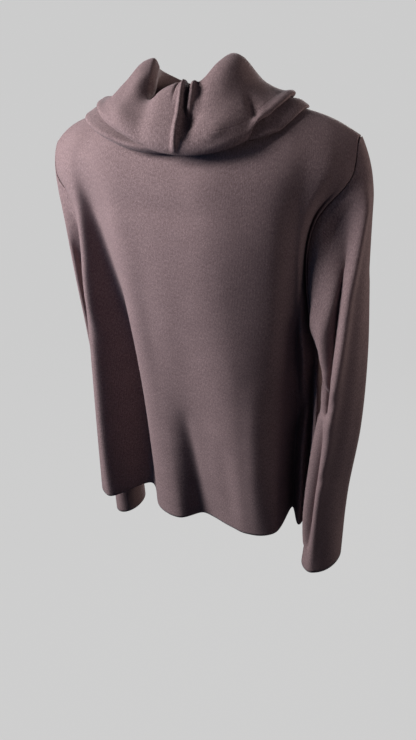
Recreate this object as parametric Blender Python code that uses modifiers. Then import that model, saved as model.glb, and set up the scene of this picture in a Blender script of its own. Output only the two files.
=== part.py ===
"""Cowl-neck sweater in brushed knit, filled out as it hangs from its shoulders, with no wearer.

Metres, +Z up. The origin is the middle of the neck opening, level with the high point of the shoulders.
The front faces -Y, and +X is the right-hand side of the sweater as it is looked at.
Front and back are panels drawn through their lengthwise folds. The sleeves are tubes drawn from the
armhole to the cuff through level sections. The collar is one tube that rolls out at its base, rises
and turns over on itself.
"""

import math
from collections import namedtuple

import bpy
import numpy as np
from mathutils import Vector
from mathutils.bvhtree import BVHTree

WALL = 0.002
SEAM_GAP = 0.0010
ARMHOLE_GAP = 0.0021
ARMHOLE_DROP = 0.0008
COLLAR_RISE = 0.0031
COLOUR = (0.205, 0.155, 0.160, 1.0)
ROUGHNESS = 0.95

HEM = -0.555
LOW = -0.450
WAIST = -0.340
UNDERARM = -0.287
CHEST = -0.235
YOKE = -0.118

SHOULDER_TIP_X = 0.193
SHOULDER_TIP_Z = -0.033
NECK_HALF_WIDTH = 0.088
NECK_FRONT = 0.080
NECK_FRONT_DROP = 0.050
NECK_BACK = 0.050
NECK_BACK_DROP = 0.010
NECK_FROM, NECK_TO = 0.30, 0.72
SHOULDER_FALL = 0.15
SIDE_CORNER = 0.10

FRONT_COLUMNS, BACK_COLUMNS = 42, 32
LOWER_ROWS, UPPER_ROWS = 9, 13
TOP_CLOSER = 1.6
SLEEVE_ANGLES = (0, 12, 22, 32, 42, 51, 60, 69, 78, 86, 94, 102, 110, 118, 126, 135, 144, 153, 165,
                 180, 200, 222, 244, 266, 286, 303, 315, 325, 335, 347)
SLEEVE_ROWS = 15
HEAD_CLOSER = 1.4
SLEEVE_HEAD = 0.12
COLLAR_ROWS = (0, 0.5, 1, 2, 3, 4, 5, 6, 7, 7.6, 8.3, 9, 10, 10.5, 11, 11.5, 12, 13)

# One lengthwise fold line of a body panel. across is its share of the panel's width, the next seven
# columns are where it stands in plan at the named heights, and collarbone also has its own height.
Fold = namedtuple("Fold", "name across hem low waist underarm chest yoke collarbone")

FRONT_FOLDS = [
    Fold("side left", 0.00, (-0.104, 0.016), (-0.112, 0.013), (-0.127, 0.006), (-0.150, 0.000),
         (-0.148, -0.030), (-0.153, -0.036), (-0.190, -0.026, -0.074)),
    Fold("tuck left", 0.05, (-0.107, -0.008), (-0.115, -0.011), (-0.129, -0.014), (-0.149, -0.021),
         (-0.149, -0.037), (-0.152, -0.043), (-0.186, -0.031, -0.070)),
    Fold("corner left", 0.12, (-0.157, -0.032), (-0.155, -0.034), (-0.153, -0.036), (-0.151, -0.042),
         (-0.149, -0.049), (-0.149, -0.054), (-0.173, -0.045, -0.062)),
    Fold("ridge left", 0.17, (-0.136, -0.052), (-0.137, -0.053), (-0.138, -0.054), (-0.138, -0.057),
         (-0.138, -0.062), (-0.138, -0.067), (-0.152, -0.058, -0.054)),
    Fold("trough left", 0.28, (-0.086, -0.008), (-0.084, -0.014), (-0.083, -0.026), (-0.088, -0.040),
         (-0.096, -0.053), (-0.111, -0.070), (-0.120, -0.070, -0.050)),
    Fold("face left", 0.36, (-0.048, -0.051), (-0.049, -0.063), (-0.053, -0.075), (-0.056, -0.082),
         (-0.061, -0.087), (-0.074, -0.093), (-0.082, -0.085, -0.056)),
    Fold("ridge front", 0.44, (-0.008, -0.065), (-0.015, -0.075), (-0.022, -0.086), (-0.026, -0.090),
         (-0.030, -0.094), (-0.034, -0.098), (-0.042, -0.092, -0.066)),
    Fold("trough middle", 0.51, (0.019, -0.044), (0.016, -0.065), (0.012, -0.084), (0.008, -0.090),
         (0.006, -0.096), (0.004, -0.100), (0.002, -0.095, -0.072)),
    Fold("ridge right", 0.65, (0.095, -0.066), (0.090, -0.080), (0.084, -0.086), (0.080, -0.089),
         (0.074, -0.092), (0.068, -0.096), (0.062, -0.089, -0.062)),
    Fold("corner right", 0.73, (0.133, -0.051), (0.125, -0.060), (0.121, -0.062), (0.120, -0.065),
         (0.118, -0.070), (0.114, -0.079), (0.116, -0.071, -0.052)),
    Fold("trough right", 0.82, (0.145, 0.018), (0.145, 0.004), (0.143, -0.010), (0.142, -0.020),
         (0.139, -0.040), (0.139, -0.058), (0.148, -0.056, -0.052)),
    Fold("ridge side", 0.88, (0.162, -0.021), (0.160, -0.021), (0.157, -0.022), (0.152, -0.030),
         (0.1465, -0.041), (0.148, -0.052), (0.168, -0.047, -0.058)),
    Fold("groove side", 0.92, (0.168, 0.005), (0.167, 0.004), (0.164, -0.002), (0.158, -0.020),
         (0.150, -0.037), (0.1515, -0.046), (0.176, -0.041, -0.063)),
    Fold("ridge outer", 0.96, (0.177, -0.009), (0.176, -0.009), (0.172, -0.006), (0.163, -0.012),
         (0.1535, -0.033), (0.155, -0.040), (0.184, -0.034, -0.069)),
    Fold("side right", 1.00, (0.181, 0.016), (0.180, 0.014), (0.176, 0.010), (0.166, 0.000),
         (0.157, -0.029), (0.158, -0.034), (0.190, -0.026, -0.074)),
]

BACK_FOLDS = [
    Fold("side right", 0.00, (0.181, 0.016), (0.180, 0.014), (0.176, 0.010), (0.166, 0.000),
         (0.161, 0.036), (0.163, 0.043), (0.190, 0.026, -0.074)),
    Fold("ridge right", 0.13, (0.176, 0.064), (0.174, 0.062), (0.170, 0.056), (0.165, 0.045),
         (0.154, 0.056), (0.154, 0.061), (0.168, 0.046, -0.058)),
    Fold("trough right", 0.27, (0.120, 0.044), (0.118, 0.054), (0.114, 0.062), (0.112, 0.067),
         (0.110, 0.071), (0.108, 0.073), (0.114, 0.060, -0.050)),
    Fold("ridge inner right", 0.39, (0.066, 0.088), (0.064, 0.087), (0.060, 0.085), (0.058, 0.084),
         (0.056, 0.083), (0.054, 0.081), (0.056, 0.069, -0.050)),
    Fold("trough middle", 0.50, (0.018, 0.048), (0.018, 0.062), (0.016, 0.074), (0.014, 0.080),
         (0.012, 0.083), (0.010, 0.083), (0.008, 0.071, -0.050)),
    Fold("ridge inner left", 0.61, (-0.036, 0.089), (-0.036, 0.088), (-0.036, 0.086), (-0.036, 0.085),
         (-0.036, 0.083), (-0.036, 0.081), (-0.040, 0.069, -0.050)),
    Fold("trough left", 0.73, (-0.082, 0.052), (-0.084, 0.058), (-0.087, 0.064), (-0.090, 0.069),
         (-0.094, 0.072), (-0.094, 0.074), (-0.100, 0.062, -0.050)),
    Fold("ridge left", 0.86, (-0.126, 0.088), (-0.128, 0.085), (-0.133, 0.078), (-0.137, 0.072),
         (-0.140, 0.064), (-0.142, 0.064), (-0.158, 0.049, -0.056)),
    Fold("tuck left", 0.94, (-0.106, 0.046), (-0.113, 0.043), (-0.128, 0.038), (-0.149, 0.026),
         (-0.147, 0.048), (-0.151, 0.050), (-0.180, 0.036, -0.066)),
    Fold("side left", 1.00, (-0.104, 0.016), (-0.112, 0.013), (-0.127, 0.006), (-0.150, 0.000),
         (-0.149, 0.034), (-0.155, 0.042), (-0.190, 0.026, -0.074)),
]

# One level section of a sleeve: half its width across and from front to back, and how far its front
# edge turns inwards, in degrees.
Section = namedtuple("Section", "height x y half_across half_deep turn")

RIGHT_SLEEVE = [
    Section(-0.080, 0.190, 0.000, 0.023, 0.034, 0),
    Section(-0.140, 0.191, -0.003, 0.0245, 0.044, 4),
    Section(-0.210, 0.194, -0.007, 0.0245, 0.048, 10),
    Section(-0.290, 0.201, -0.010, 0.0215, 0.047, 16),
    Section(-0.390, 0.2055, -0.012, 0.018, 0.045, 20),
    Section(-0.490, 0.201, -0.014, 0.017, 0.043, 20),
    Section(-0.604, 0.198, -0.016, 0.023, 0.042, 18),
]

LEFT_SLEEVE = [
    Section(-0.080, -0.180, 0.000, 0.0180, 0.034, 0),
    Section(-0.140, -0.175, 0.003, 0.0150, 0.040, 0),
    Section(-0.210, -0.171, 0.006, 0.0125, 0.040, 0),
    Section(-0.290, -0.166, 0.013, 0.0120, 0.038, 0),
    Section(-0.390, -0.155, 0.021, 0.016, 0.037, 0),
    Section(-0.490, -0.149, 0.028, 0.017, 0.036, 0),
    Section(-0.622, -0.143, 0.031, 0.020, 0.036, 0),
]

# One lengthwise fold of a sleeve: the angle where it runs, from 0 outside through 90 in front to 180
# inside, how wide it is in degrees, how proud of the section, and between which heights it fades.
Crease = namedtuple("Crease", "angle width height top bottom")

RIGHT_CREASES = [
    Crease(80, 12, 0.005, -0.090, -0.600),
    Crease(107, 13, -0.012, -0.100, -0.360),
    Crease(134, 16, 0.005, -0.110, -0.270),
]
LEFT_CREASES = [
    Crease(90, 12, 0.002, -0.090, -0.400),
    Crease(118, 13, -0.004, -0.100, -0.270),
]
CREASE_FADE = 0.05

# One radial section of the collar. Angle 0 is its left side, 90 the front, 180 the right side and 270
# the back. roll is the bottom tier, edge the free lower edge of the tier turned over it, and top the
# line where the tube turns over, each as a distance from the axis and a height. bulge is how far the
# turned-over tier stands out from a straight cone.
Gore = namedtuple("Gore", "angle roll roll_z edge edge_z top top_z bulge")

COLLAR = [
    Gore(0, 0.134, -0.003, 0.115, 0.007, 0.054, 0.045, -0.001),
    Gore(28, 0.133, -0.015, 0.118, -0.004, 0.052, 0.050, 0.001),
    Gore(50, 0.124, -0.031, 0.117, -0.018, 0.062, 0.032, 0.004),
    Gore(68, 0.112, -0.043, 0.115, -0.032, 0.080, 0.004, 0.006),
    Gore(82, 0.106, -0.046, 0.113, -0.044, 0.074, 0.014, 0.008),
    Gore(96, 0.105, -0.045, 0.113, -0.050, 0.071, 0.020, 0.008),
    Gore(112, 0.107, -0.043, 0.115, -0.050, 0.070, 0.020, 0.008),
    Gore(130, 0.113, -0.041, 0.121, -0.041, 0.066, 0.039, 0.007),
    Gore(150, 0.128, -0.031, 0.120, -0.020, 0.060, 0.050, 0.002),
    Gore(175, 0.134, -0.006, 0.117, 0.003, 0.054, 0.045, -0.002),
    Gore(210, 0.118, -0.006, 0.102, 0.004, 0.054, 0.034, -0.002),
    Gore(240, 0.108, -0.008, 0.097, 0.001, 0.053, 0.030, 0.001),
    Gore(270, 0.102, -0.011, 0.094, -0.002, 0.054, 0.028, 0.001),
    Gore(300, 0.108, -0.008, 0.097, 0.001, 0.054, 0.030, 0.001),
    Gore(330, 0.122, -0.002, 0.106, 0.007, 0.054, 0.038, 0.000),
]

# One upright pleat in the front of the turned-over tier: where it is, how wide and how proud of it.
Pleat = namedtuple("Pleat", "angle width height")

PLEATS = [
    Pleat(70, 6.0, -0.004),
    Pleat(94, 3.4, 0.007),
    Pleat(101, 4.0, -0.010),
    Pleat(112, 5.0, 0.003),
]

COLLAR_STEP, COLLAR_FINE_STEP = 8.0, 3.4
COLLAR_FINE_FROM, COLLAR_FINE_TO = 58.0, 133.0
REST_GAP = 0.0011
STEEPEST = 0.45
ROLL_RISE = 0.0052
TIER_GAP = 0.0038
RIM_REACH, RIM_FALL = 0.011, 0.014
RIM_DROP = 0.004


def smooth(keys, values, at):
    """The point at a key on the smooth curve through the values, which has no overshoot to speak of."""
    keys = np.asarray(keys, float)
    values = np.asarray(values, float)
    steps = np.diff(keys)
    slopes = np.diff(values, axis=0) / steps[:, None]
    tangents = np.empty_like(values)
    tangents[0], tangents[-1] = slopes[0], slopes[-1]
    near, far = steps[:-1, None], steps[1:, None]
    tangents[1:-1] = (slopes[:-1] * far + slopes[1:] * near) / (near + far)
    i = int(np.clip(np.searchsorted(keys, at) - 1, 0, len(steps) - 1))
    h = steps[i]
    t = (min(max(at, keys[0]), keys[-1]) - keys[i]) / h
    return ((2 * t**3 - 3 * t**2 + 1) * values[i] + (t**3 - 2 * t**2 + t) * h * tangents[i]
            + (3 * t**2 - 2 * t**3) * values[i + 1] + (t**3 - t**2) * h * tangents[i + 1])


def through(points, place):
    """The smooth curve through the points, at a place counted in points from the first one."""
    points = np.asarray(points, float)
    keys = np.concatenate(([0.0], np.cumsum(np.linalg.norm(np.diff(points, axis=0), axis=1))))
    return smooth(keys, points, np.interp(place, range(len(keys)), keys))


def ease(t):
    """0 to 1 with a level start and end."""
    t = min(max(t, 0.0), 1.0)
    return t * t * (3 - 2 * t)


def bell(distance, width):
    """1 in the middle, falling off smoothly to each side."""
    return math.exp(-((distance / width) ** 2))


def neckline(angle):
    """The neck seam: 0 is the left shoulder, 90 the front, 180 the right shoulder, 270 the back."""
    a = math.radians(angle)
    front = math.sin(a) > 0
    reach, drop = (NECK_FRONT, NECK_FRONT_DROP) if front else (NECK_BACK, NECK_BACK_DROP)
    return np.array([-NECK_HALF_WIDTH * math.cos(a), -reach * math.sin(a), -drop * math.sin(a) ** 2])


def shoulder_height(x):
    """Height of the shoulder seam, which falls faster towards its tip."""
    share = (abs(x) - NECK_HALF_WIDTH) / (SHOULDER_TIP_X - NECK_HALF_WIDTH)
    return SHOULDER_TIP_Z * max(share, 0.0) ** 2.0


def top_edge(share, facing):
    """The panel's upper edge: shoulder seam, neckline, shoulder seam. facing is -1 in front, 1 behind."""
    seam_y = facing * SEAM_GAP / 2
    if NECK_FROM < share < NECK_TO:
        part = (share - NECK_FROM) / (NECK_TO - NECK_FROM)
        angle = 180 * (part + 0.09 * math.sin(2 * math.pi * part))
        x, y, z = neckline(angle if facing < 0 else 180 + angle)
        return np.array([x, y + seam_y, z])
    if share <= NECK_FROM:
        out = 1 - share / NECK_FROM
        side = facing
    else:
        out = (share - NECK_TO) / (1 - NECK_TO)
        side = -facing
    x = side * (NECK_HALF_WIDTH + (SHOULDER_TIP_X - NECK_HALF_WIDTH) * out)
    return np.array([x, seam_y, shoulder_height(x)])


def panel_point(facing, share, height):
    """A point of a body panel: height is -1 at the hem, 0 level with the underarm and 1 at the top."""
    folds = FRONT_FOLDS if facing < 0 else BACK_FOLDS
    keys = [fold.across for fold in folds]
    line = []
    for level, z in (("hem", HEM), ("low", LOW), ("waist", WAIST), ("underarm", UNDERARM),
                     ("chest", CHEST), ("yoke", YOKE)):
        x, y = smooth(keys, [getattr(fold, level) for fold in folds], share)
        line.append((x, y + facing * SEAM_GAP / 2, z))
    bone = smooth(keys, [fold.collarbone for fold in folds], share)
    top = top_edge(share, facing)
    over = top + (bone - top) / 4
    over[2] = top[2] - SHOULDER_FALL * math.hypot(over[0] - top[0], over[1] - top[1])
    line = np.array([*line, bone, over, top])
    rises = np.linalg.norm(np.diff(line[3:], axis=0), axis=1)
    marks = np.concatenate((line[:4, 2] - UNDERARM, np.cumsum(rises)))
    at = (UNDERARM - HEM if height < 0 else marks[-1]) * height
    flowing = smooth(marks, line, at)
    inward = min(share, 1 - share) / SIDE_CORNER
    if inward >= 1:
        return flowing
    turned = smooth(marks[:4], line[:4], at) if at < 0 else smooth(marks[3:], line[3:], at)
    return turned + (flowing - turned) * ease(inward)


def panel_rows():
    """Heights of the rows of a body panel, closer together towards the shoulders."""
    lower = [i / LOWER_ROWS - 1 for i in range(LOWER_ROWS)]
    return lower + [1 - (1 - i / UPPER_ROWS) ** TOP_CLOSER for i in range(UPPER_ROWS + 1)]


def armhole(side, angle):
    """The armhole: 0 is the shoulder tip, 90 the front, 180 the underarm, 270 the back."""
    z = SHOULDER_TIP_Z + (UNDERARM - SHOULDER_TIP_Z) * (1 - math.cos(math.radians(angle))) / 2
    facing = 1 if angle > 180 else -1
    share = 1.0 if side == -facing else 0.0
    low, high = 0.0, 1.0
    for _ in range(20):
        middle = (low + high) / 2
        if panel_point(facing, share, middle)[2] < z:
            low = middle
        else:
            high = middle
    return panel_point(facing, share, high)


def sleeve_point(sections, creases, side, angle, length_share):
    """A point of a sleeve, at an angle round it and a share of the way from armhole to cuff."""
    start = armhole(side, angle) + np.array([side * ARMHOLE_GAP, 0, -ARMHOLE_DROP])
    z = start[2] + (sections[-1].height - start[2]) * length_share
    heights = [section.height for section in reversed(sections)]
    shape = smooth(heights, [section[1:] for section in reversed(sections)], z)
    x, y, half_across, half_deep, turn = shape
    a = math.radians(angle)
    proud = sum(crease.height * bell(angle - crease.angle, crease.width)
                * ease((crease.top - z) / CREASE_FADE) * ease((z - crease.bottom) / CREASE_FADE)
                for crease in creases)
    across_part = side * (half_across + proud) * math.cos(a)
    deep_part = -(half_deep + proud) * math.sin(a)
    t = side * math.radians(turn)
    hung = np.array([x + across_part * math.cos(t) + deep_part * math.sin(t),
                     y - across_part * math.sin(t) + deep_part * math.cos(t), z])
    left = 1 - min(length_share / SLEEVE_HEAD, 1.0)
    point = start * left**2 + hung * (1 - left**2)
    point[2] = z
    return point


def collar_angles():
    """Angles round the collar, closer together over the pleats."""
    angles = [COLLAR_FINE_TO]
    while angles[-1] < 360 + COLLAR_FINE_FROM - COLLAR_STEP * 1.4:
        angles.append(angles[-1] + COLLAR_STEP)
    count = round((COLLAR_FINE_TO - COLLAR_FINE_FROM) / COLLAR_FINE_STEP)
    fine = [360 + COLLAR_FINE_FROM + COLLAR_FINE_STEP * i for i in range(count)]
    return [a % 360 for a in angles + fine]


def panel_grid(facing, columns):
    """A panel's points, as rows of columns from the hem up."""
    return [[panel_point(facing, i / (columns - 1), height) for i in range(columns)]
            for height in panel_rows()]


def grid_faces(rows, columns, closed):
    """Faces over a grid of points. closed joins the last column to the first."""
    spans = columns if closed else columns - 1
    return [(j * columns + i, j * columns + (i + 1) % columns,
             (j + 1) * columns + (i + 1) % columns, (j + 1) * columns + i)
            for j in range(rows - 1) for i in range(spans)]


def yoke_surface(grids):
    """The middle surface of the panels, which the bottom tier of the collar lies on."""
    corners, faces = [], []
    for grid in grids:
        first = len(corners)
        corners += [tuple(point) for row in grid for point in row]
        faces += [[first + k for k in face] for face in grid_faces(len(grid), len(grid[0]), False)]
    return BVHTree.FromPolygons(corners, faces)


def lie_on(yoke, r, angle, z):
    """z, raised as far as it takes to clear the yoke there and half a column to each side."""
    for side in (-COLLAR_STEP / 2, 0, COLLAR_STEP / 2):
        a = math.radians(angle + side)
        for _ in range(8):
            point = Vector((-r * math.cos(a), -r * math.sin(a), z))
            spot, normal, _, _ = yoke.find_nearest(point)
            if normal.z < 0:
                normal = -normal
            short = WALL + REST_GAP - (point - spot).dot(normal)
            if short <= 0:
                break
            z += short / max(normal.z, STEEPEST)
    return z


def above(line, r, gap):
    """The height at r that clears a line of points (radius, height), in order of radius, by a gap."""
    radii, heights = zip(*line)
    rise = np.interp(r + WALL, radii, heights) - np.interp(r - WALL, radii, heights)
    return float(np.interp(r, radii, heights)) + gap * math.hypot(1, rise / (2 * WALL))


def collar_line(yoke, angle, rows):
    """The collar's points at an angle round it, at places counted from the neck seam."""
    wrapped = [gore._replace(angle=gore.angle + turn) for turn in (-360, 0, 360) for gore in COLLAR]
    keys = [gore.angle for gore in wrapped]
    shape = smooth(keys, [gore[1:] for gore in wrapped], angle)
    roll, roll_z, edge, edge_z, top, top_z, bulge = shape
    fold = sum(pleat.height * bell(angle - pleat.angle, pleat.width) for pleat in PLEATS)
    roll += min(fold, 0.0)
    a = math.radians(angle)
    seam = neckline(angle)
    seam_r = math.hypot(seam[0], seam[1])
    rest_r, rest_z = roll - 0.006, roll_z - 0.003
    under = [(seam_r + (rest_r - seam_r) * part, seam[2] + (rest_z - seam[2]) * part - 0.001)
             for part in (1 / 3, 2 / 3, 1)]
    under.append((roll, roll_z + 0.001))
    under = [(r, lie_on(yoke, r, angle, z)) for r, z in under]
    under.insert(0, (seam_r, seam[2] + COLLAR_RISE))
    under[4] = (roll, max(under[4][1], under[3][1] - RIM_DROP))

    shoulder_r, inner_r = roll - 0.008, 0.5 * (roll + top) - 0.004
    middle_r = 0.5 * (shoulder_r + inner_r)
    shoulder_z = max(above(under, shoulder_r, ROLL_RISE), under[3][1] + ROLL_RISE, under[4][1] + ROLL_RISE)
    inner_z = max(0.6 * roll_z + 0.4 * top_z - 0.008, above(under, inner_r, ROLL_RISE))
    middle_z = max(0.5 * (shoulder_z + inner_z), above(under, middle_r, ROLL_RISE))
    inner = [(shoulder_r, shoulder_z), (middle_r, middle_z), (inner_r, inner_z), (top - 0.006, top_z - 0.009)]

    def clear(r, z):
        past = max(r - shoulder_r, 0) / RIM_REACH
        return r, max(z, above(inner[::-1], r, TIER_GAP) - RIM_FALL * past**4)

    slant = math.hypot(edge - top, top_z - edge_z)
    out_r, out_z = bulge * (top_z - edge_z) / slant, bulge * (edge - top) / slant
    line = under + inner + [
        (top - 0.001, top_z - 0.001),
        (top + 0.005, top_z - 0.002),
        clear(0.5 * (top + edge) + out_r + 0.5 * fold, 0.5 * (top_z + edge_z) + out_z),
        clear(edge + 0.14 * (top - edge) + out_r + 0.9 * fold, edge_z + 0.14 * (top_z - edge_z) + out_z),
        clear(edge + 0.4 * fold, edge_z),
    ]
    points = []
    for place in rows:
        r, z = through(line, place)
        if 0 < place < 4:
            z = lie_on(yoke, r, angle, z)
        points.append((-r * math.cos(a), -r * math.sin(a), z))
    return points


def cloth(name, points, closed, collection):
    """One piece of cloth: a wall over a grid of points, rows of columns."""
    corners = [tuple(point) for row in points for point in row]
    faces = grid_faces(len(points), len(points[0]), closed)
    mesh = bpy.data.meshes.new(name)
    mesh.from_pydata(corners, [], faces)
    mesh.shade_smooth()
    piece = bpy.data.objects.new(name, mesh)
    collection.objects.link(piece)
    wall = piece.modifiers.new("wall", "SOLIDIFY")
    wall.thickness = WALL
    wall.offset = 0.0
    knit = bpy.data.materials.new(name + "_knit")
    knit.use_nodes = True
    shader = knit.node_tree.nodes["Principled BSDF"]
    shader.inputs["Base Color"].default_value = COLOUR
    shader.inputs["Roughness"].default_value = ROUGHNESS
    shader.inputs["Metallic"].default_value = 0.0
    mesh.materials.append(knit)
    return piece


def make_sleeve(name, sections, creases, side, collection):
    angles = SLEEVE_ANGLES[::-side]
    shares = [(1 - j / SLEEVE_ROWS) ** HEAD_CLOSER for j in range(SLEEVE_ROWS + 1)]
    points = [[sleeve_point(sections, creases, side, angle, share) for angle in angles] for share in shares]
    return cloth(name, points, True, collection)


def make_collar(name, yoke, collection):
    lines = [collar_line(yoke, angle, COLLAR_ROWS) for angle in collar_angles()]
    points = [[line[j] for line in lines] for j in reversed(range(len(COLLAR_ROWS)))]
    return cloth(name, points, True, collection)


def main():
    for old in list(bpy.data.objects):
        bpy.data.objects.remove(old)
    sweater = bpy.data.collections.new("sweater")
    bpy.context.scene.collection.children.link(sweater)
    front = panel_grid(-1, FRONT_COLUMNS)
    back = panel_grid(1, BACK_COLUMNS)
    cloth("front", front, False, sweater)
    cloth("back", back, False, sweater)
    make_sleeve("sleeve_right", RIGHT_SLEEVE, RIGHT_CREASES, 1, sweater)
    make_sleeve("sleeve_left", LEFT_SLEEVE, LEFT_CREASES, -1, sweater)
    make_collar("collar", yoke_surface([front, back]), sweater)


main()
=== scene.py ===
"""Cowl-neck sweater in brushed mauve-brown knit, filled out as it hangs, dressed over its plain solids.

Metres, +Z up, front facing -Y, with the middle of the neck opening as the origin. Each piece of cloth is
a grid with its own UV map, laid through the same folds and sections as its solid, with finer creases of
its own, and then given a wall.
"""

import math
from collections import namedtuple
from functools import lru_cache

import bpy
import numpy as np
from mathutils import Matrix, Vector
from mathutils.bvhtree import BVHTree


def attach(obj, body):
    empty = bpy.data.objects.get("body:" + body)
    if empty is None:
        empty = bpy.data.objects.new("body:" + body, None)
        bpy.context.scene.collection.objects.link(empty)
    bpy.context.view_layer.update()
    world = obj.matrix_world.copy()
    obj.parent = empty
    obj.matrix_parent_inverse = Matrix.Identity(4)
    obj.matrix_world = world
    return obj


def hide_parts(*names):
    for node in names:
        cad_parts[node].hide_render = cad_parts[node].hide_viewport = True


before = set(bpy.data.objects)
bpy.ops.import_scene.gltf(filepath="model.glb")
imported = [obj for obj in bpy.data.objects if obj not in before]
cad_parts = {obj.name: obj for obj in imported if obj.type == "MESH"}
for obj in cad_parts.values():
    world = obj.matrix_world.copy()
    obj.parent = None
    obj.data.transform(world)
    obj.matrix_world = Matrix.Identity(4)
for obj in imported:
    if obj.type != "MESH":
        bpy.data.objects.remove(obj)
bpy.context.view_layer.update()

# Wall, gaps at the seams and spacing of the collar's tiers
WALL = 0.0018
SEAM_GAP = 0.0006
ARMHOLE_GAP = 0.0014
ARMHOLE_DROP = 0.0008
COLLAR_RISE = 0.0028
COLLAR_STEP = 2.0
REST_GAP = 0.0009
STEEPEST = 0.45
ROLL_RISE = 0.0050
TIER_GAP = 0.0036
RIM_REACH, RIM_FALL = 0.011, 0.014
RIM_DROP = 0.004
EDGE_LIFT = 0.0042
TOP_CLOSER = 1.6
HEAD_CLOSER = 1.4
SLEEVE_HEAD = 0.12
THINNEST = 0.5
SEAM_WELD = 0.00005

# Levels of the body
HEM = -0.555
LOW = -0.450
WAIST = -0.340
UNDERARM = -0.287
CHEST = -0.235
YOKE = -0.118

# Shoulders and neckline
SHOULDER_TIP_X = 0.193
SHOULDER_TIP_Z = -0.033
NECK_HALF_WIDTH = 0.088
NECK_FRONT = 0.080
NECK_FRONT_DROP = 0.050
NECK_BACK = 0.050
NECK_BACK_DROP = 0.010
NECK_FROM, NECK_TO = 0.30, 0.72
NECK_CROWDING = 0.09
SHOULDER_FALL = 0.15
SIDE_CORNER = 0.10

# One lengthwise fold line of a body panel. across is its share of the panel's width, the next seven
# columns are where it stands in plan at the named heights, and collarbone also has its own height.
Fold = namedtuple("Fold", "name across hem low waist underarm chest yoke collarbone")

FRONT_FOLDS = [
    Fold("side left", 0.00, (-0.104, 0.016), (-0.112, 0.013), (-0.127, 0.006), (-0.150, 0.000),
         (-0.148, -0.030), (-0.153, -0.036), (-0.190, -0.026, -0.074)),
    Fold("tuck left", 0.05, (-0.107, -0.008), (-0.115, -0.011), (-0.129, -0.014), (-0.149, -0.021),
         (-0.149, -0.037), (-0.152, -0.043), (-0.186, -0.031, -0.070)),
    Fold("corner left", 0.12, (-0.157, -0.032), (-0.155, -0.034), (-0.153, -0.036), (-0.151, -0.042),
         (-0.149, -0.049), (-0.149, -0.054), (-0.173, -0.045, -0.062)),
    Fold("ridge left", 0.17, (-0.136, -0.052), (-0.137, -0.053), (-0.138, -0.054), (-0.138, -0.057),
         (-0.138, -0.062), (-0.138, -0.067), (-0.152, -0.058, -0.054)),
    Fold("trough left", 0.28, (-0.086, -0.008), (-0.084, -0.014), (-0.083, -0.026), (-0.088, -0.040),
         (-0.096, -0.053), (-0.111, -0.070), (-0.120, -0.070, -0.050)),
    Fold("face left", 0.36, (-0.048, -0.051), (-0.049, -0.063), (-0.053, -0.075), (-0.056, -0.082),
         (-0.061, -0.087), (-0.074, -0.093), (-0.082, -0.085, -0.056)),
    Fold("ridge front", 0.44, (-0.008, -0.065), (-0.015, -0.075), (-0.022, -0.086), (-0.026, -0.090),
         (-0.030, -0.094), (-0.034, -0.098), (-0.042, -0.092, -0.066)),
    Fold("trough middle", 0.51, (0.019, -0.044), (0.016, -0.065), (0.012, -0.084), (0.008, -0.090),
         (0.006, -0.096), (0.004, -0.100), (0.002, -0.095, -0.072)),
    Fold("ridge right", 0.65, (0.095, -0.066), (0.090, -0.080), (0.084, -0.086), (0.080, -0.089),
         (0.074, -0.092), (0.068, -0.096), (0.062, -0.089, -0.062)),
    Fold("corner right", 0.73, (0.133, -0.051), (0.125, -0.060), (0.121, -0.062), (0.120, -0.065),
         (0.118, -0.070), (0.114, -0.079), (0.116, -0.071, -0.052)),
    Fold("trough right", 0.82, (0.145, 0.018), (0.145, 0.004), (0.143, -0.010), (0.142, -0.020),
         (0.139, -0.040), (0.139, -0.058), (0.148, -0.056, -0.052)),
    Fold("ridge side", 0.88, (0.162, -0.021), (0.160, -0.021), (0.157, -0.022), (0.152, -0.030),
         (0.1465, -0.041), (0.148, -0.052), (0.168, -0.047, -0.058)),
    Fold("groove side", 0.92, (0.168, 0.005), (0.167, 0.004), (0.164, -0.002), (0.158, -0.020),
         (0.150, -0.037), (0.1515, -0.046), (0.176, -0.041, -0.063)),
    Fold("ridge outer", 0.96, (0.177, -0.009), (0.176, -0.009), (0.172, -0.006), (0.163, -0.012),
         (0.1535, -0.033), (0.155, -0.040), (0.184, -0.034, -0.069)),
    Fold("side right", 1.00, (0.181, 0.016), (0.180, 0.014), (0.176, 0.010), (0.166, 0.000),
         (0.157, -0.029), (0.158, -0.034), (0.190, -0.026, -0.074)),
]

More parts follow.
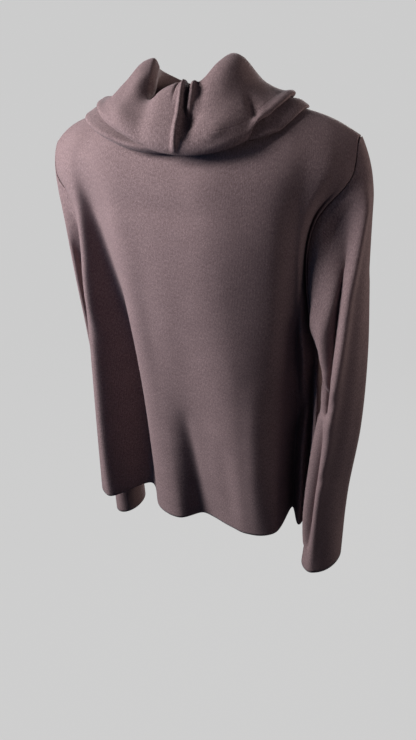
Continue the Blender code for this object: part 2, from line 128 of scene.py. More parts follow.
BACK_FOLDS = [
    Fold("side right", 0.00, (0.181, 0.016), (0.180, 0.014), (0.176, 0.010), (0.166, 0.000),
         (0.161, 0.036), (0.163, 0.043), (0.190, 0.026, -0.074)),
    Fold("ridge right", 0.13, (0.176, 0.064), (0.174, 0.062), (0.170, 0.056), (0.165, 0.045),
         (0.154, 0.056), (0.154, 0.061), (0.168, 0.046, -0.058)),
    Fold("trough right", 0.27, (0.120, 0.044), (0.118, 0.054), (0.114, 0.062), (0.112, 0.067),
         (0.110, 0.071), (0.108, 0.073), (0.114, 0.060, -0.050)),
    Fold("ridge inner right", 0.39, (0.066, 0.088), (0.064, 0.087), (0.060, 0.085), (0.058, 0.084),
         (0.056, 0.083), (0.054, 0.081), (0.056, 0.069, -0.050)),
    Fold("trough middle", 0.50, (0.018, 0.048), (0.018, 0.062), (0.016, 0.074), (0.014, 0.080),
         (0.012, 0.083), (0.010, 0.083), (0.008, 0.071, -0.050)),
    Fold("ridge inner left", 0.61, (-0.036, 0.089), (-0.036, 0.088), (-0.036, 0.086), (-0.036, 0.085),
         (-0.036, 0.083), (-0.036, 0.081), (-0.040, 0.069, -0.050)),
    Fold("trough left", 0.73, (-0.082, 0.052), (-0.084, 0.058), (-0.087, 0.064), (-0.090, 0.069),
         (-0.094, 0.072), (-0.094, 0.074), (-0.100, 0.062, -0.050)),
    Fold("ridge left", 0.86, (-0.126, 0.088), (-0.128, 0.085), (-0.133, 0.078), (-0.137, 0.072),
         (-0.140, 0.064), (-0.142, 0.064), (-0.158, 0.049, -0.056)),
    Fold("tuck left", 0.94, (-0.106, 0.046), (-0.113, 0.043), (-0.128, 0.038), (-0.149, 0.026),
         (-0.147, 0.048), (-0.151, 0.050), (-0.180, 0.036, -0.066)),
    Fold("side left", 1.00, (-0.104, 0.016), (-0.112, 0.013), (-0.127, 0.006), (-0.150, 0.000),
         (-0.149, 0.034), (-0.155, 0.042), (-0.190, 0.026, -0.074)),
]

# One level section of a sleeve: half its width across and from front to back, and how far its front
# edge turns inwards, in degrees.
Section = namedtuple("Section", "height x y half_across half_deep turn")

RIGHT_SLEEVE = [
    Section(-0.080, 0.190, 0.000, 0.023, 0.034, 0),
    Section(-0.140, 0.191, -0.003, 0.0245, 0.044, 4),
    Section(-0.210, 0.194, -0.007, 0.0245, 0.048, 10),
    Section(-0.290, 0.201, -0.010, 0.0215, 0.047, 16),
    Section(-0.390, 0.2055, -0.012, 0.018, 0.045, 20),
    Section(-0.490, 0.201, -0.014, 0.017, 0.043, 20),
    Section(-0.604, 0.198, -0.016, 0.023, 0.042, 18),
]

LEFT_SLEEVE = [
    Section(-0.080, -0.180, 0.000, 0.0180, 0.034, 0),
    Section(-0.140, -0.175, 0.003, 0.0150, 0.040, 0),
    Section(-0.210, -0.171, 0.006, 0.0125, 0.040, 0),
    Section(-0.290, -0.166, 0.013, 0.0120, 0.038, 0),
    Section(-0.390, -0.155, 0.021, 0.016, 0.037, 0),
    Section(-0.490, -0.149, 0.028, 0.017, 0.036, 0),
    Section(-0.622, -0.143, 0.031, 0.020, 0.036, 0),
]

# One radial section of the collar. Angle 0 is its left side, 90 the front, 180 the right side and 270
# the back. roll is the bottom tier, edge the free lower edge of the tier turned over it, and top the
# line where the tube turns over, each as a distance from the axis and a height. bulge is how far the
# turned-over tier stands out from a straight cone.
Gore = namedtuple("Gore", "angle roll roll_z edge edge_z top top_z bulge")

COLLAR = [
    Gore(0, 0.134, -0.003, 0.115, 0.007, 0.054, 0.045, -0.001),
    Gore(28, 0.133, -0.015, 0.118, -0.004, 0.052, 0.050, 0.001),
    Gore(50, 0.124, -0.031, 0.117, -0.018, 0.062, 0.032, 0.004),
    Gore(68, 0.112, -0.043, 0.115, -0.032, 0.080, 0.004, 0.006),
    Gore(82, 0.106, -0.046, 0.113, -0.044, 0.074, 0.014, 0.008),
    Gore(96, 0.105, -0.045, 0.113, -0.050, 0.071, 0.020, 0.008),
    Gore(112, 0.107, -0.043, 0.115, -0.050, 0.070, 0.020, 0.008),
    Gore(130, 0.113, -0.041, 0.121, -0.041, 0.066, 0.039, 0.007),
    Gore(150, 0.128, -0.031, 0.120, -0.020, 0.060, 0.050, 0.002),
    Gore(175, 0.134, -0.006, 0.117, 0.003, 0.054, 0.045, -0.002),
    Gore(210, 0.118, -0.006, 0.102, 0.004, 0.054, 0.034, -0.002),
    Gore(240, 0.108, -0.008, 0.097, 0.001, 0.053, 0.030, 0.001),
    Gore(270, 0.102, -0.011, 0.094, -0.002, 0.054, 0.028, 0.001),
    Gore(300, 0.108, -0.008, 0.097, 0.001, 0.054, 0.030, 0.001),
    Gore(330, 0.122, -0.002, 0.106, 0.007, 0.054, 0.038, 0.000),
]

# A soft crease, or a ridge where height is positive, from one place on a piece to another. across and
# up are its own directions: share of the width and height on a panel, angle and height on a sleeve,
# angle and place on the collar. width and height are in metres.
Crease = namedtuple("Crease", "across_from up_from across_to up_to width height")

PANEL_SPAN = 0.50
CREASE_EDGE, CREASE_HEAD = 0.045, 0.04
CREASE_TOP, CREASE_FADE = 0.2, 0.6
SLEEVE_SPAN = 0.0006
COLLAR_SPAN, COLLAR_PLACE = 0.0018, 0.022

FRONT_CREASES = [
    Crease(0.260, -0.12, 0.295, -0.57, 0.028, -0.022),
    Crease(0.180, -0.20, 0.175, -0.54, 0.016, 0.006),
    Crease(0.345, -0.24, 0.360, -0.55, 0.014, 0.004),
    Crease(0.950, -0.11, 0.955, -0.27, 0.022, -0.020),
    Crease(0.945, -0.27, 0.840, -0.40, 0.018, -0.014),
    Crease(0.950, -0.33, 0.955, -0.55, 0.012, 0.026),
    Crease(0.500, -0.38, 0.515, -0.56, 0.010, -0.004),
    Crease(0.600, -0.42, 0.615, -0.56, 0.012, -0.003),
    Crease(0.690, -0.33, 0.680, -0.56, 0.014, 0.003),
    Crease(0.900, -0.20, 0.760, -0.33, 0.011, -0.003),
    Crease(0.920, -0.27, 0.800, -0.41, 0.012, 0.002),
    Crease(0.090, -0.18, 0.200, -0.31, 0.011, -0.003),
    Crease(0.380, -0.10, 0.600, -0.12, 0.012, -0.0015),
    Crease(0.430, -0.20, 0.470, -0.40, 0.020, -0.002),
    Crease(0.160, -0.33, 0.165, -0.54, 0.010, 0.002),
]
BACK_CREASES = [
    Crease(0.100, -0.19, 0.250, -0.32, 0.012, -0.003),
    Crease(0.900, -0.19, 0.760, -0.33, 0.012, -0.003),
    Crease(0.270, -0.26, 0.265, -0.55, 0.013, -0.004),
    Crease(0.500, -0.30, 0.510, -0.56, 0.014, -0.004),
    Crease(0.730, -0.28, 0.735, -0.55, 0.013, -0.004),
    Crease(0.400, -0.11, 0.620, -0.12, 0.014, -0.002),
    Crease(0.380, -0.24, 0.390, -0.48, 0.016, 0.002),
]
RIGHT_CREASES = [
    Crease(36, -0.090, 52, -0.220, 0.0080, 0.005),
    Crease(52, -0.220, 72, -0.370, 0.0085, 0.006),
    Crease(72, -0.370, 84, -0.600, 0.0085, 0.004),
    Crease(58, -0.110, 74, -0.200, 0.0090, -0.017),
    Crease(74, -0.200, 92, -0.290, 0.0095, -0.019),
    Crease(92, -0.290, 99, -0.350, 0.0078, -0.015),
    Crease(126, -0.120, 121, -0.285, 0.0095, 0.010),
    Crease(152, -0.292, 98, -0.352, 0.0050, -0.014),
    Crease(134, -0.370, 122, -0.560, 0.0090, 0.010),
    Crease(106, -0.370, 100, -0.560, 0.0055, -0.006),
    Crease(32, -0.130, 44, -0.450, 0.0120, -0.003),
    Crease(335, -0.200, 342, -0.520, 0.0110, 0.003),
    Crease(58, -0.320, 90, -0.365, 0.0060, -0.002),
    Crease(60, -0.430, 86, -0.460, 0.0060, -0.0015),
    Crease(252, -0.110, 262, -0.340, 0.0090, -0.007),
    Crease(222, -0.300, 262, -0.400, 0.0060, -0.004),
    Crease(300, -0.150, 296, -0.500, 0.0110, -0.003),
]
LEFT_CREASES = [
    Crease(92, -0.080, 96, -0.310, 0.0140, -0.020),
    Crease(30, -0.120, 40, -0.420, 0.0110, -0.003),
    Crease(330, -0.180, 338, -0.500, 0.0110, 0.002),
    Crease(250, -0.120, 260, -0.320, 0.0090, -0.005),
    Crease(62, -0.420, 90, -0.450, 0.0060, -0.002),
    Crease(300, -0.180, 292, -0.480, 0.0110, -0.003),
]
COLLAR_CREASES = [
    Crease(100.4, 9.3, 98.0, 13.2, 0.0026, 0.0060),
    Crease(103.2, 9.2, 102.6, 10.8, 0.0028, -0.0080),
    Crease(104.0, 10.9, 104.6, 11.7, 0.0078, -0.0085),
    Crease(109.2, 9.2, 105.4, 10.7, 0.0032, 0.0042),
    Crease(105.4, 10.7, 104.0, 11.0, 0.0026, 0.0036),
    Crease(105.9, 9.5, 104.4, 10.5, 0.0024, -0.0030),
    Crease(95.2, 9.5, 94.0, 10.5, 0.0022, -0.0022),
    Crease(112.9, 10.2, 112.5, 10.6, 0.0075, -0.0030),
    Crease(110.2, 11.0, 109.8, 11.4, 0.0075, -0.0025),
    Crease(116.0, 11.7, 120.0, 12.3, 0.0130, 0.0030),
    Crease(128.0, 10.6, 140.0, 12.4, 0.0180, -0.0015),
    Crease(72.0, 9.6, 78.0, 12.6, 0.0110, -0.0040),
    Crease(56.0, 10.0, 64.0, 13.0, 0.0120, 0.0030),
    Crease(236.0, 10.2, 228.0, 13.0, 0.0130, -0.0035),
    Crease(268.0, 10.2, 272.0, 13.0, 0.0120, 0.0030),
    Crease(300.0, 10.2, 306.0, 13.0, 0.0130, -0.0035),
]
ROLL_TUCK_ANGLE, ROLL_TUCK_WIDTH, ROLL_TUCK = 102, 6.0, -0.010


def smooth(keys, values, at):
    """The point at a key on the smooth curve through the values, which has no overshoot to speak of."""
    keys = np.asarray(keys, float)
    values = np.asarray(values, float)
    steps = np.diff(keys)
    slopes = np.diff(values, axis=0) / steps[:, None]
    tangents = np.empty_like(values)
    tangents[0], tangents[-1] = slopes[0], slopes[-1]
    near, far = steps[:-1, None], steps[1:, None]
    tangents[1:-1] = (slopes[:-1] * far + slopes[1:] * near) / (near + far)
    i = int(np.clip(np.searchsorted(keys, at) - 1, 0, len(steps) - 1))
    h = steps[i]
    t = (min(max(at, keys[0]), keys[-1]) - keys[i]) / h
    return ((2 * t**3 - 3 * t**2 + 1) * values[i] + (t**3 - 2 * t**2 + t) * h * tangents[i]
            + (3 * t**2 - 2 * t**3) * values[i + 1] + (t**3 - t**2) * h * tangents[i + 1])


def through(points, place):
    """The smooth curve through the points, at a place counted in points from the first one."""
    points = np.asarray(points, float)
    keys = np.concatenate(([0.0], np.cumsum(np.linalg.norm(np.diff(points, axis=0), axis=1))))
    return smooth(keys, points, np.interp(place, range(len(keys)), keys))


def ease(t):
    """0 to 1 with a level start and end."""
    t = min(max(t, 0.0), 1.0)
    return t * t * (3 - 2 * t)


def bell(distance, width):
    """1 in the middle, falling off smoothly to each side."""
    return math.exp(-((distance / width) ** 2))


def relief(creases, across, up, across_size, up_size, turn=0):
    """How far the creases raise the cloth at a place. turn is the full circle on a tube, 0 on a panel."""
    raised = 0.0
    for crease in creases:
        away = across - crease.across_from
        if turn:
            away = (away + turn / 2) % turn - turn / 2
        run = (crease.across_to - crease.across_from) * across_size
        rise = (crease.up_to - crease.up_from) * up_size
        x, y = away * across_size, (up - crease.up_from) * up_size
        part = min(max((x * run + y * rise) / (run * run + rise * rise), 0.0), 1.0)
        apart = math.hypot(x - run * part, y - rise * part)
        if apart < 3 * crease.width:
            raised += crease.height * bell(apart, crease.width) * (1 - CREASE_FADE * abs(2 * part - 1) ** 3)
    return raised


def neckline(angle):
    """The neck seam: 0 is the left shoulder, 90 the front, 180 the right shoulder, 270 the back."""
    a = math.radians(angle)
    front = math.sin(a) > 0
    reach, drop = (NECK_FRONT, NECK_FRONT_DROP) if front else (NECK_BACK, NECK_BACK_DROP)
    return np.array([-NECK_HALF_WIDTH * math.cos(a), -reach * math.sin(a), -drop * math.sin(a) ** 2])


def shoulder_height(x):
    """Height of the shoulder seam, which falls faster towards its tip."""
    share = (abs(x) - NECK_HALF_WIDTH) / (SHOULDER_TIP_X - NECK_HALF_WIDTH)
    return SHOULDER_TIP_Z * max(share, 0.0) ** 2.0


def top_edge(share, facing):
    """The panel's upper edge: shoulder seam, neckline, shoulder seam. facing is -1 in front, 1 behind."""
    seam_y = facing * SEAM_GAP / 2
    if NECK_FROM < share < NECK_TO:
        part = (share - NECK_FROM) / (NECK_TO - NECK_FROM)
        angle = 180 * (part + NECK_CROWDING * math.sin(2 * math.pi * part))
        x, y, z = neckline(angle if facing < 0 else 180 + angle)
        return np.array([x, y + seam_y, z])
    if share <= NECK_FROM:
        out = 1 - share / NECK_FROM
        side = facing
    else:
        out = (share - NECK_TO) / (1 - NECK_TO)
        side = -facing
    x = side * (NECK_HALF_WIDTH + (SHOULDER_TIP_X - NECK_HALF_WIDTH) * out)
    return np.array([x, seam_y, shoulder_height(x)])


@lru_cache(maxsize=None)
def fold_line(facing, share):
    """The points down a panel at a share of its width, and how they are spaced."""
    folds = FRONT_FOLDS if facing < 0 else BACK_FOLDS
    keys = [fold.across for fold in folds]
    line = []
    for level, z in (("hem", HEM), ("low", LOW), ("waist", WAIST), ("underarm", UNDERARM),
                     ("chest", CHEST), ("yoke", YOKE)):
        x, y = smooth(keys, [getattr(fold, level) for fold in folds], share)
        line.append((x, y + facing * SEAM_GAP / 2, z))
    bone = smooth(keys, [fold.collarbone for fold in folds], share)
    top = top_edge(share, facing)
    over = top + (bone - top) / 4
    over[2] = top[2] - SHOULDER_FALL * math.hypot(over[0] - top[0], over[1] - top[1])
    line = np.array([*line, bone, over, top])
    rises = np.linalg.norm(np.diff(line[3:], axis=0), axis=1)
    return line, np.concatenate((line[:4, 2] - UNDERARM, np.cumsum(rises)))


def panel_point(facing, share, height):
    """A point of a body panel: height is -1 at the hem, 0 level with the underarm and 1 at the top."""
    line, marks = fold_line(facing, share)
    at = (UNDERARM - HEM if height < 0 else marks[-1]) * height
    flowing = smooth(marks, line, at)
    inward = min(share, 1 - share) / SIDE_CORNER
    if inward >= 1:
        return flowing
    turned = smooth(marks[:4], line[:4], at) if at < 0 else smooth(marks[3:], line[3:], at)
    return turned + (flowing - turned) * ease(inward)


@lru_cache(maxsize=None)
def armhole(side, angle):
    """The armhole: 0 is the shoulder tip, 90 the front, 180 the underarm, 270 the back."""
    z = SHOULDER_TIP_Z + (UNDERARM - SHOULDER_TIP_Z) * (1 - math.cos(math.radians(angle))) / 2
    facing = 1 if angle > 180 else -1
    share = 1.0 if side == -facing else 0.0
    low, high = 0.0, 1.0
    for _ in range(20):
        middle = (low + high) / 2
        if panel_point(facing, share, middle)[2] < z:
            low = middle
        else:
            high = middle
    return panel_point(facing, share, high)


def sleeve_point(sections, creases, side, angle, length_share):
    """A point of a sleeve, at an angle round it and a share of the way from armhole to cuff."""
    start = armhole(side, angle) + np.array([side * ARMHOLE_GAP, 0, -ARMHOLE_DROP])
    z = start[2] + (sections[-1].height - start[2]) * length_share
    heights = [section.height for section in reversed(sections)]
    shape = smooth(heights, [section[1:] for section in reversed(sections)], z)
    x, y, half_across, half_deep, turn = shape
    a = math.radians(angle)
    left = 1 - min(length_share / SLEEVE_HEAD, 1.0)
    hung_share = max(1 - left**2, 0.01)
    proud = relief(creases, angle, z, SLEEVE_SPAN, 1.0, 360) * ease(length_share / CREASE_HEAD)
    proud /= hung_share
    across_part = side * (half_across + max(proud, -THINNEST * half_across)) * math.cos(a)
    deep_part = -(half_deep + proud) * math.sin(a)
    t = side * math.radians(turn)
    hung = np.array([x + across_part * math.cos(t) + deep_part * math.sin(t),
                     y - across_part * math.sin(t) + deep_part * math.cos(t), z])
    point = start * left**2 + hung * (1 - left**2)
    point[2] = z
    return point


def creased_panel_point(facing, share, height):
    """A point of a body panel with its own creases, which die out towards its seams."""
    point = panel_point(facing, share, height)
    creases = FRONT_CREASES if facing < 0 else BACK_CREASES
    inward = ease(min(share, 1 - share) / CREASE_EDGE) * ease((1 - height) / CREASE_TOP)
    point[1] += facing * inward * relief(creases, share, point[2], PANEL_SPAN, 1.0)
    return point


def grid_faces(rows, columns, closed):
    """Faces over a grid of points. closed joins the last column to the first."""
    spans = columns if closed else columns - 1
    return [(j * columns + i, j * columns + (i + 1) % columns,
             (j + 1) * columns + (i + 1) % columns, (j + 1) * columns + i)
            for j in range(rows - 1) for i in range(spans)]


def yoke_surface(grids):
    """The middle surface of the panels, which the bottom tier of the collar lies on."""
    corners, faces = [], []
    for grid in grids:
        first = len(corners)
        corners += [tuple(point) for row in grid for point in row]
        faces += [[first + k for k in face] for face in grid_faces(len(grid), len(grid[0]), False)]
    return BVHTree.FromPolygons(corners, faces)


def lie_on(yoke, r, angle, z):
    """z, raised as far as it takes to clear the yoke there and half a column to each side."""
    for side in (-COLLAR_STEP / 2, 0, COLLAR_STEP / 2):
        a = math.radians(angle + side)
        for _ in range(8):
            point = Vector((-r * math.cos(a), -r * math.sin(a), z))
            spot, normal, _, _ = yoke.find_nearest(point)
            if normal.z < 0:
                normal = -normal
            short = WALL + REST_GAP - (point - spot).dot(normal)
            if short <= 0:
                break
            z += short / max(normal.z, STEEPEST)
    return z


def above(line, r, gap):
    """The height at r that clears a line of points (radius, height), in order of radius, by a gap."""
    radii, heights = zip(*line)
    rise = np.interp(r + WALL, radii, heights) - np.interp(r - WALL, radii, heights)
    return float(np.interp(r, radii, heights)) + gap * math.hypot(1, rise / (2 * WALL))


# Places on the collar's line, and how far its free edge turns in beyond the last tier
TOP_PLACE, TURN_PLACE, EDGE_PLACE, LAST_PLACE = 9.5, 7.4, 13.0, 16
TURNED_UNDER = ((0.0014, 0.0012), (0.0006, 0.0032), (-0.0028, 0.0040))


def collar_line(yoke, angle, rows):
    """The collar's points at an angle round it, at places counted from the neck seam."""
    wrapped = [gore._replace(angle=gore.angle + turn) for turn in (-360, 0, 360) for gore in COLLAR]
    keys = [gore.angle for gore in wrapped]
    shape = smooth(keys, [gore[1:] for gore in wrapped], angle)
    roll, roll_z, edge, edge_z, top, top_z, bulge = shape
    roll += ROLL_TUCK * bell(angle - ROLL_TUCK_ANGLE, ROLL_TUCK_WIDTH)
    a = math.radians(angle)
    seam = neckline(angle)
    seam_r = math.hypot(seam[0], seam[1])
    rest_r, rest_z = roll - 0.006, roll_z - 0.003
    under = [(seam_r + (rest_r - seam_r) * part, seam[2] + (rest_z - seam[2]) * part - 0.001)
             for part in (1 / 3, 2 / 3, 1)]
    under.append((roll, roll_z + 0.001))
    under = [(r, lie_on(yoke, r, angle, z)) for r, z in under]
    under.insert(0, (seam_r, seam[2] + COLLAR_RISE))
    under[4] = (roll, max(under[4][1], under[3][1] - RIM_DROP))

    shoulder_r, inner_r = roll - 0.008, 0.5 * (roll + top) - 0.004
    middle_r = 0.5 * (shoulder_r + inner_r)
    shoulder_z = max(above(under, shoulder_r, ROLL_RISE), under[3][1] + ROLL_RISE,
                     under[4][1] + ROLL_RISE)
    inner_z = max(0.6 * roll_z + 0.4 * top_z - 0.008, above(under, inner_r, ROLL_RISE))
    middle_z = max(0.5 * (shoulder_z + inner_z), above(under, middle_r, ROLL_RISE))
    inner = [(shoulder_r, shoulder_z), (middle_r, middle_z), (inner_r, inner_z),
             (top - 0.006, top_z - 0.009)]

    def clear(r, z, lift=0.0):
        past = max(r - shoulder_r, 0) / RIM_REACH
        return r, max(z, above(inner[::-1], r, TIER_GAP + lift) - RIM_FALL * past**4)

    slant = math.hypot(edge - top, top_z - edge_z)
    out_r, out_z = bulge * (top_z - edge_z) / slant, bulge * (edge - top) / slant
    line = under + inner + [
        (top - 0.001, top_z - 0.001),
        (top + 0.005, top_z - 0.002),
        clear(0.5 * (top + edge) + out_r, 0.5 * (top_z + edge_z) + out_z, 0.3 * EDGE_LIFT),
        clear(edge + 0.14 * (top - edge) + out_r, edge_z + 0.14 * (top_z - edge_z) + out_z,
              0.8 * EDGE_LIFT),
        clear(edge, edge_z, EDGE_LIFT),
    ]
    run, fall = line[13][0] - line[12][0], line[12][1] - line[13][1]
    ahead = np.array([run, -fall]) / math.hypot(run, fall)
    below = np.array([-fall, -run]) / math.hypot(run, fall)
    line += [tuple(np.array(line[13]) + ahead * out + below * down) for out, down in TURNED_UNDER]
    points = []
    for place in rows:
        r, z = through(line, place)
        if 0 < place < 4:
            z = lie_on(yoke, r, angle, z)
        raised = relief(COLLAR_CREASES, angle, max(place, TOP_PLACE), COLLAR_SPAN, COLLAR_PLACE, 360)
        raised *= ease(place - TURN_PLACE) * ease(EDGE_PLACE + 1 - place)
        r += raised * (top_z - edge_z) / slant
        z += raised * (edge - top) / slant
        points.append((-r * math.cos(a), -r * math.sin(a), z))
    return points


def spaced(points):
    """Running lengths across and up a grid of points, for a UV map in metres."""
    across = np.linalg.norm(np.diff(points, axis=1), axis=2).mean(axis=0)
    up = np.linalg.norm(np.diff(points, axis=0), axis=2).mean(axis=1)
    return np.concatenate(([0.0], np.cumsum(across))), np.concatenate(([0.0], np.cumsum(up)))


def cloth(name, node, points, closed, knit):
    """One piece of cloth: a grid drawn over rows of points, joined into a tube if closed, with a wall."""
    points = np.array(points, float)
    rows, columns = points.shape[0] - 1, points.shape[1] - 1
    bpy.ops.object.select_all(action="DESELECT")
    bpy.ops.mesh.primitive_grid_add(x_subdivisions=columns, y_subdivisions=rows, size=1, calc_uvs=True)
    piece = bpy.context.active_object
    piece.name = piece.data.name = name
    mesh = piece.data
    flat_places = np.empty(len(mesh.vertices) * 3)
    mesh.vertices.foreach_get("co", flat_places)
    flat_places = flat_places.reshape(-1, 3)
    column = np.rint((flat_places[:, 0] + 0.5) * columns).astype(int)
    row = np.rint((flat_places[:, 1] + 0.5) * rows).astype(int)
    mesh.vertices.foreach_set("co", points[row, column].ravel())
    across, up = spaced(points)
    corner = np.empty(len(mesh.loops), int)
    mesh.loops.foreach_get("vertex_index", corner)
    places = np.column_stack((across[column[corner]], up[row[corner]]))
    mesh.uv_layers.active.data.foreach_set("uv", places.ravel())
    mesh.uv_layers.active.name = "cloth"
    mesh.update()
    bpy.ops.object.mode_set(mode="EDIT")
    bpy.ops.mesh.select_all(action="SELECT")
    if closed:
        bpy.ops.mesh.remove_doubles(threshold=SEAM_WELD)
    bpy.ops.mesh.normals_make_consistent(inside=False)
    bpy.ops.object.mode_set(mode="OBJECT")
    bpy.ops.object.shade_smooth()
    wall = piece.modifiers.new("wall", "SOLIDIFY")
    wall.thickness = WALL
    wall.offset = 0.0
    bpy.ops.object.modifier_apply(modifier="wall")
    piece.data.materials.clear()
    piece.data.materials.append(knit)
    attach(piece, "root")
    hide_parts(node)
    return piece


class Shade:
    """One output of a shader's nodes, with the arithmetic that Math nodes do."""

    def __init__(self, tree, socket):
        self.tree, self.socket = tree, socket

    def node(self, kind, settings, sockets, output=0):
        """Adds a node: its settings first, then the values or links of its sockets."""
        made = self.tree.nodes.new(kind)
        for key, value in settings.items():
            if key == "stops":
                made.color_ramp.elements[0].position, made.color_ramp.elements[0].color = value[0]
                made.color_ramp.elements[1].position, made.color_ramp.elements[1].color = value[-1]
                for position, colour in value[1:-1]:
                    made.color_ramp.elements.new(position).color = colour
            else:
                setattr(made, key, value)
        for key, value in sockets.items():
            if isinstance(value, Shade):
                self.tree.links.new(value.socket, made.inputs[key])
            else:
                made.inputs[key].default_value = value
        return Shade(self.tree, made.outputs[output])

    def math(self, operation, first, second):
        """Adds a Math node of two values or links."""
        return self.node("ShaderNodeMath", {"operation": operation}, {0: first, 1: second})

    def __add__(self, other):
        return self.math("ADD", self, other)

    def __radd__(self, other):
        return self.math("ADD", other, self)

    def __sub__(self, other):
        return self.math("SUBTRACT", self, other)

    def __rsub__(self, other):
        return self.math("SUBTRACT", other, self)

    def __mul__(self, other):
        return self.math("MULTIPLY", self, other)

    def __rmul__(self, other):
        return self.math("MULTIPLY", other, self)

    def sine(self):
        return self.node("ShaderNodeMath", {"operation": "SINE"}, {0: self})

    def absolute(self):
        return self.node("ShaderNodeMath", {"operation": "ABSOLUTE"}, {0: self})

    def positive(self):
        return self.math("MAXIMUM", self, 0.0)


# Stitches, stitched line and fibres of the knit
WALE_PITCH = 0.0019
COURSE_PITCH = 0.0015
HEM_DEPTH, HEM_GROOVE = 0.020, 0.0010
FIBRE_SCALE, FLECK_SCALE, PATCH_SCALE = 1150.0, 520.0, 38.0
DARK_FIBRE = (0.122, 0.079, 0.084, 1)
BODY_FIBRE = (0.207, 0.147, 0.151, 1)
PALE_FIBRE = (0.335, 0.242, 0.252, 1)


def brushed_knit(name):
    """Fine brushed knit: heather fibres of three tones over faint upright ribs of stitches."""
    material = bpy.data.materials.new(name)
    material.use_nodes = True
    tree = material.node_tree
    cloth_shader = tree.nodes["Principled BSDF"]
    start = Shade(tree, None)
    uv = start.node("ShaderNodeUVMap", {"uv_map": "cloth"}, {})
    across = start.node("ShaderNodeSeparateXYZ", {}, {0: uv}, 0)
    up = start.node("ShaderNodeSeparateXYZ", {}, {0: uv}, 1)
    combed = start.node("ShaderNodeMapping", {}, {"Vector": uv, "Scale": (1.0, 0.55, 1.0)})

    def noise(places, scale, detail, roughness):
        return start.node("ShaderNodeTexNoise", {}, {
            "Vector": places, "Scale": scale, "Detail": detail, "Roughness": roughness})

    fibres = noise(combed, FIBRE_SCALE, 3.0, 0.7)
    flecks = noise(combed, FLECK_SCALE, 3.0, 0.65)
    patches = noise(uv, PATCH_SCALE, 2.0, 0.5)
    wales = (across * (2 * math.pi / WALE_PITCH)).sine()
    courses = (up * (2 * math.pi / COURSE_PITCH) + 2.0 * wales).sine()
    tone = 0.52 * fibres + 0.36 * flecks + 0.06 * patches + 0.012 * wales + 0.01 * courses
    colour = start.node("ShaderNodeValToRGB", {"stops": [
        (0.34, DARK_FIBRE), (0.47, BODY_FIBRE), (0.60, PALE_FIBRE)]}, {0: tone})
    tree.links.new(colour.socket, cloth_shader.inputs["Base Color"])
    stitch_line = 1.0 - (up - HEM_DEPTH).absolute() * (1 / HEM_GROOVE)
    height = 0.6 * fibres + 0.5 * flecks + 0.10 * wales + 0.05 * courses - 0.8 * stitch_line.positive()
    bump = start.node("ShaderNodeBump", {}, {"Strength": 0.35, "Distance": 0.0009, "Height": height})
    tree.links.new(bump.socket, cloth_shader.inputs["Normal"])
    cloth_shader.inputs["Roughness"].default_value = 0.95
    cloth_shader.inputs["IOR"].default_value = 1.35
    cloth_shader.inputs["Sheen Weight"].default_value = 0.12
    cloth_shader.inputs["Sheen Roughness"].default_value = 0.45
    cloth_shader.inputs["Sheen Tint"].default_value = (0.78, 0.74, 0.80, 1)
    return material


# Columns and rows of the grids, which are closer at the collar's pinch
FRONT_GRID = (150, 170)
BACK_GRID = (110, 120)
SLEEVE_GRID = (120, 150)
COLLAR_PER_PLACE = 6
PINCH_FROM, PINCH_TO = 84, 122
PINCH_COLUMNS, COLLAR_COLUMNS = 130, 171
LOWER_SHARE = 0.45


def panel_points(facing, grid):
    """Rows of points over a body panel, from the hem up, closer towards the top."""
    columns, rows = grid
    lower = round(rows * LOWER_SHARE)
    heights = [i / lower - 1 for i in range(lower)]
    heights += [1 - (1 - i / (rows - lower)) ** TOP_CLOSER for i in range(rows - lower + 1)]
    return [[creased_panel_point(facing, i / columns, height) for i in range(columns + 1)]
            for height in heights]


def sleeve_points(sections, creases, side):
    """Rings of points round a sleeve, from the cuff up, closer towards its head."""
    columns, rows = SLEEVE_GRID
    return [[sleeve_point(sections, creases, side, i * 360 / columns % 360, (1 - j / rows) ** HEAD_CLOSER)
             for i in range(columns + 1)] for j in range(rows + 1)]


def collar_points(yoke):
    """Rings of points round the collar, from its free edge to the neck seam."""
    pinch = np.linspace(PINCH_FROM, PINCH_TO, PINCH_COLUMNS, endpoint=False)
    angles = np.concatenate((pinch, np.linspace(PINCH_TO, PINCH_FROM + 360, COLLAR_COLUMNS)))
    places = np.linspace(LAST_PLACE, 0, LAST_PLACE * COLLAR_PER_PLACE + 1)
    lines = [collar_line(yoke, float(angle) % 360, places) for angle in angles]
    return [[line[j] for line in lines] for j in range(len(places))]


# The five pieces
knit = brushed_knit("brushed_knit")
front_points = panel_points(-1, FRONT_GRID)
back_points = panel_points(1, BACK_GRID)
front = cloth("front_cloth", "front", front_points, False, knit)
back = cloth("back_cloth", "back", back_points, False, knit)
cloth("sleeve_right_cloth", "sleeve_right", sleeve_points(RIGHT_SLEEVE, RIGHT_CREASES, 1), True, knit)
cloth("sleeve_left_cloth", "sleeve_left", sleeve_points(LEFT_SLEEVE, LEFT_CREASES, -1), True, knit)
yoke = yoke_surface([front_points, back_points])
cloth("collar_cloth", "collar", collar_points(yoke), True, knit)


# The studio: a pale round room, a soft light at the left in front with a cool one beside it, a weak
# warm one at the right, and two behind that show the back and the right edge.
FLOOR_Z, FLOOR_R, CORNER_R, WALL_TOP = -1.6, 7.0, 2.0, 6.0
PALE_GREY = 0.604
MIDDLE = Vector((0, 0, -0.27))


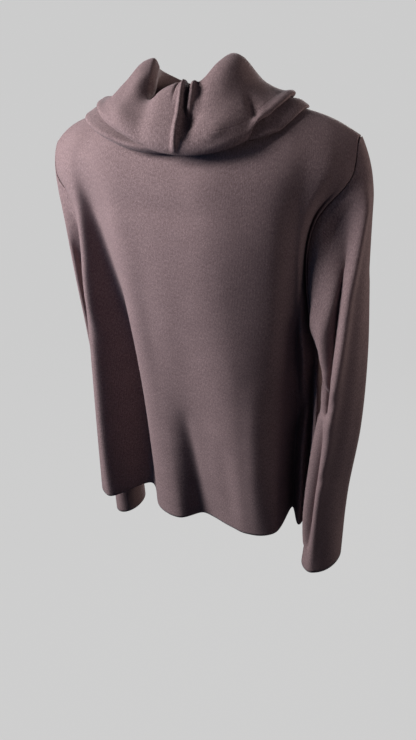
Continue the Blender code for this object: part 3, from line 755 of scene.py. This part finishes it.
def round_room():
    """A floor that curves up into a wall all round."""
    bpy.ops.object.select_all(action="DESELECT")
    bpy.ops.mesh.primitive_grid_add(x_subdivisions=96, y_subdivisions=32, size=1, calc_uvs=True)
    room = bpy.context.active_object
    room.name = "room"
    turn_length = CORNER_R * math.pi / 2
    length = FLOOR_R + turn_length + WALL_TOP
    for vertex in room.data.vertices:
        around = (vertex.co.x + 0.5) * 2 * math.pi
        out = (vertex.co.y + 0.5) * length
        bend = min(max(out - FLOOR_R, 0) / CORNER_R, math.pi / 2)
        r = min(out, FLOOR_R) + CORNER_R * math.sin(bend)
        z = FLOOR_Z + CORNER_R * (1 - math.cos(bend)) + max(out - FLOOR_R - turn_length, 0)
        vertex.co = (r * math.cos(around), r * math.sin(around), z)
    room.data.update()
    bpy.ops.object.shade_smooth()
    finish = bpy.data.materials.new("pale_wall")
    finish.use_nodes = True
    shader = finish.node_tree.nodes["Principled BSDF"]
    shader.inputs["Base Color"].default_value = (0.02, 0.02, 0.02, 1)
    shader.inputs["Roughness"].default_value = 1.0
    shader.inputs["Specular IOR Level"].default_value = 0.0
    shader.inputs["Emission Color"].default_value = (PALE_GREY, PALE_GREY, PALE_GREY, 1)
    shader.inputs["Emission Strength"].default_value = 1.0
    room.data.materials.append(finish)
    room.visible_diffuse = room.visible_glossy = room.visible_shadow = False


def soft_light(name, place, size, power, colour):
    """A square lamp turned to the middle of the sweater, and not seen itself."""
    data = bpy.data.lights.new(name, "AREA")
    data.energy, data.size, data.color = power, size, colour
    lamp = bpy.data.objects.new(name, data)
    bpy.context.scene.collection.objects.link(lamp)
    lamp.location = place
    lamp.visible_camera = False
    lamp.rotation_euler = (MIDDLE - lamp.location).to_track_quat("-Z", "Y").to_euler()


round_room()
soft_light("left_light", (-0.93, -0.72, 0.30), 0.45, 27.0, (1.0, 0.955, 0.935))
soft_light("window_light", (-0.40, -0.50, -0.12), 0.3, 0.34, (0.12, 0.46, 1.0))
soft_light("right_fill", (0.80, -0.05, 0.02), 0.4, 0.9, (1.0, 0.86, 0.80))
soft_light("back_light", (-0.3, 2.5, 0.9), 1.0, 52, (1.0, 0.98, 0.96))
soft_light("right_light", (1.5, 2.0, 0.5), 0.8, 22, (1.0, 0.80, 0.68))

world = bpy.data.worlds.new("studio")
bpy.context.scene.world = world
world.use_nodes = True
background = world.node_tree.nodes["Background"]
background.inputs["Color"].default_value = (0.60, 0.66, 0.90, 1)
background.inputs["Strength"].default_value = 0.045
bpy.context.scene.view_settings.view_transform = "Standard"

# The camera, at the photo's angle, with its focal length in pixels of the photo
LOOK_DOWN, LOOK_ROUND = math.radians(22.4), math.radians(20.0)
PHOTO_HEIGHT, FOCAL_LENGTH, SENSOR_HEIGHT = 740, 540, 36
camera_data = bpy.data.cameras.new("photo_camera")
camera_data.sensor_fit = "VERTICAL"
camera_data.sensor_height = SENSOR_HEIGHT
camera_data.lens = SENSOR_HEIGHT * FOCAL_LENGTH / PHOTO_HEIGHT
camera = bpy.data.objects.new("photo_camera", camera_data)
bpy.context.scene.collection.objects.link(camera)
camera.location = (0.2575, -0.6725, -0.045)
camera.rotation_euler = (math.pi / 2 - LOOK_DOWN, 0, LOOK_ROUND)
bpy.context.scene.camera = camera
